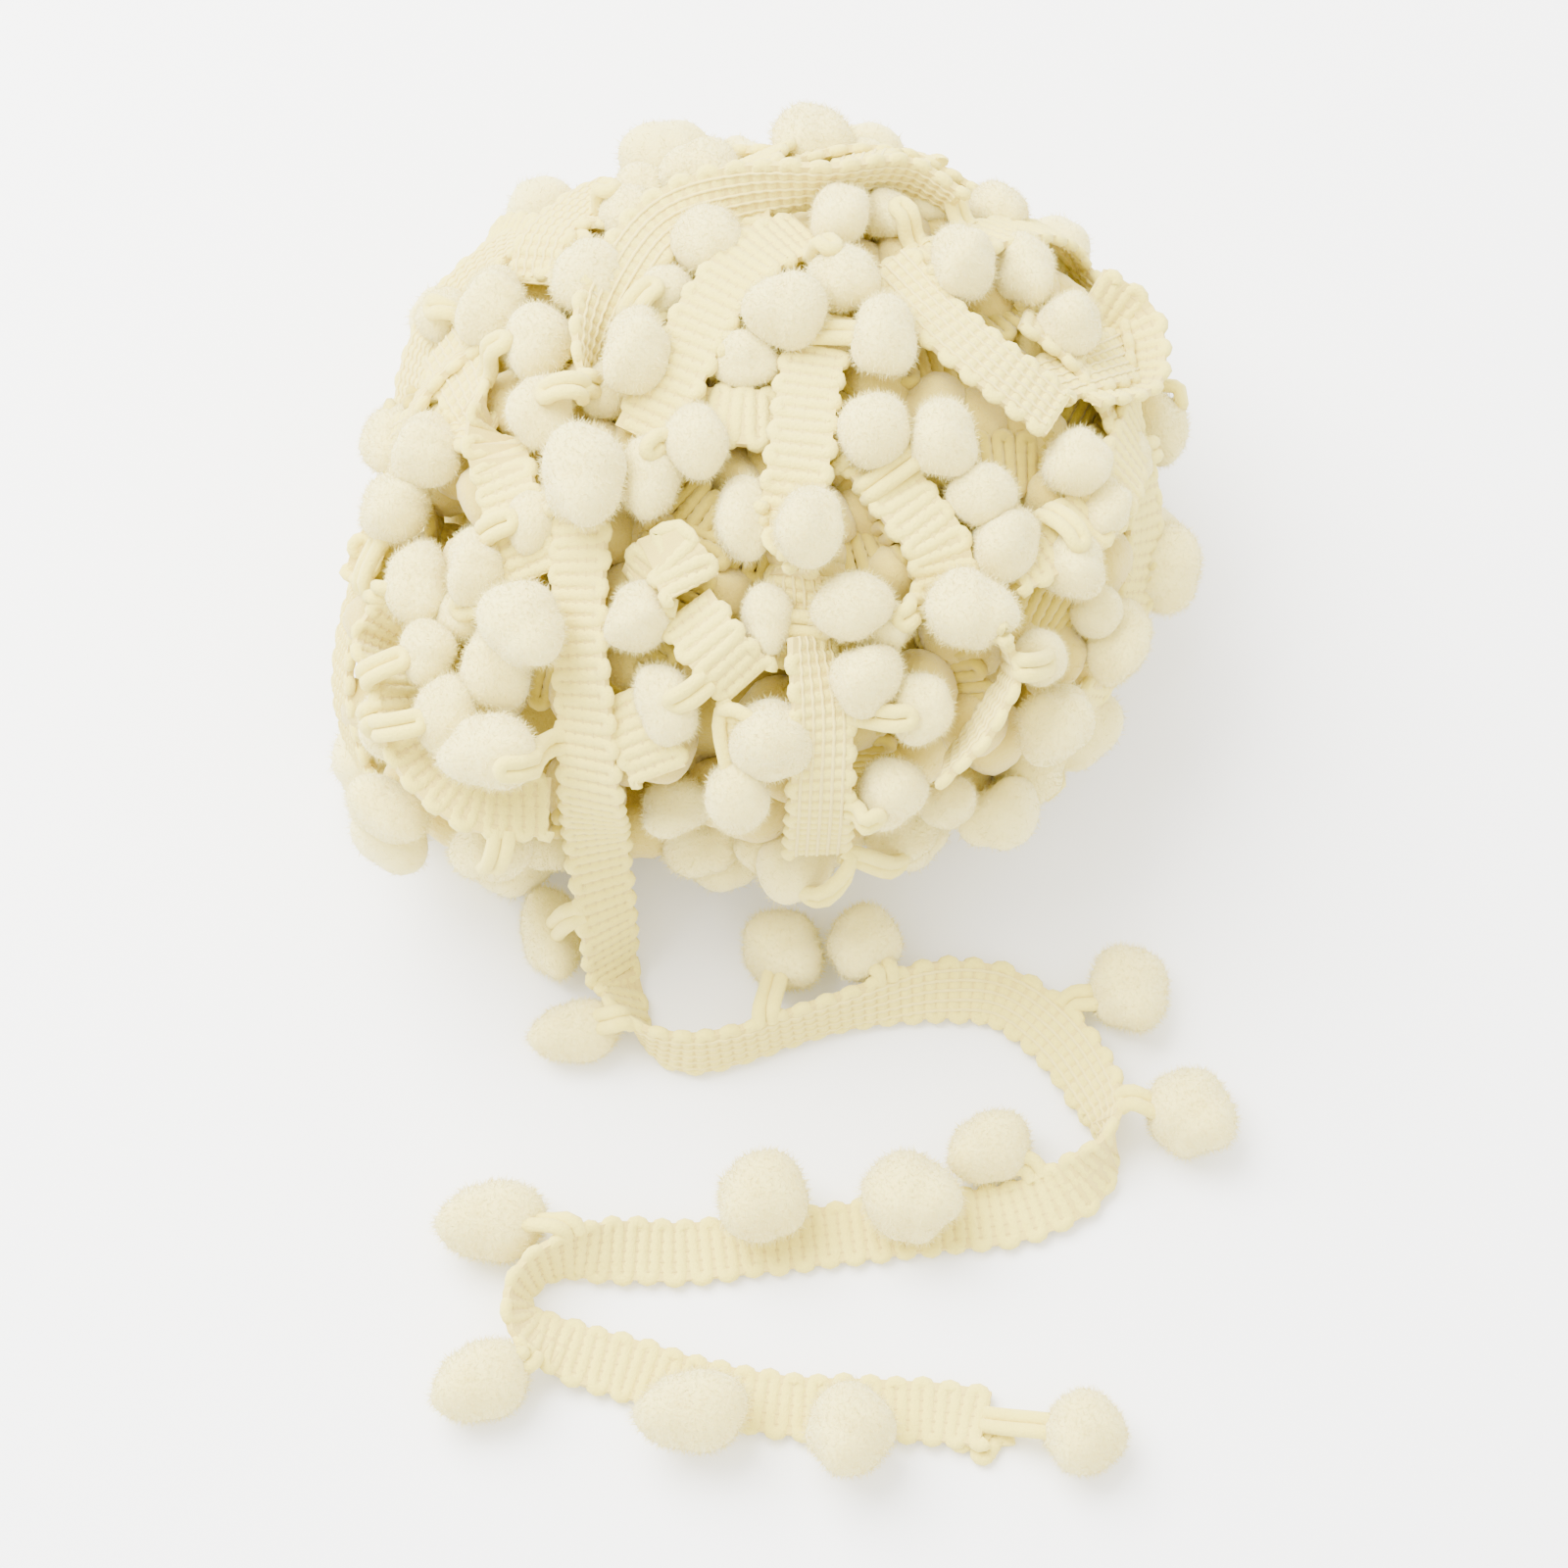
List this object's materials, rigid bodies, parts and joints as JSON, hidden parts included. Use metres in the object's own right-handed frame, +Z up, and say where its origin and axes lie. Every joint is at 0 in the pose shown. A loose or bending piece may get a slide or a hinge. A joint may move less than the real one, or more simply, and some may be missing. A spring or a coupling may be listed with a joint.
{
  "type": "pompom fringe trim",
  "caption": "Ribbed woven cotton tape with felted pompoms along one edge, wound into a loose ball with its end laid out in an S.",
  "frame": {"origin": "middle of the flat spot that the ball rests on", "axes": "+Z up from the table, +Y from the loose end towards the ball, +X to the right as seen from the loose end"},
  "size_m": [0.1568, 0.2353, 0.0955],
  "materials": {
    "tape_yarn": "matte",
    "pompom_felt": "matte"
  },
  "bodies": {
    "root": {"ball": "tape_yarn", "loose_tape": "tape_yarn", "pompom_01": "pompom_felt", "pompom_02": "pompom_felt", "pompom_03": "pompom_felt", "pompom_04": "pompom_felt", "pompom_05": "pompom_felt", "pompom_06": "pompom_felt", "pompom_07": "pompom_felt", "pompom_08": "pompom_felt", "pompom_09": "pompom_felt", "pompom_10": "pompom_felt", "pompom_11": "pompom_felt", "pompom_12": "pompom_felt", "pompom_13": "pompom_felt", "pompom_14": "pompom_felt", "pompom_15": "pompom_felt", "pompom_16": "pompom_felt", "pompom_17": "pompom_felt"}
  },
  "joints": []
}
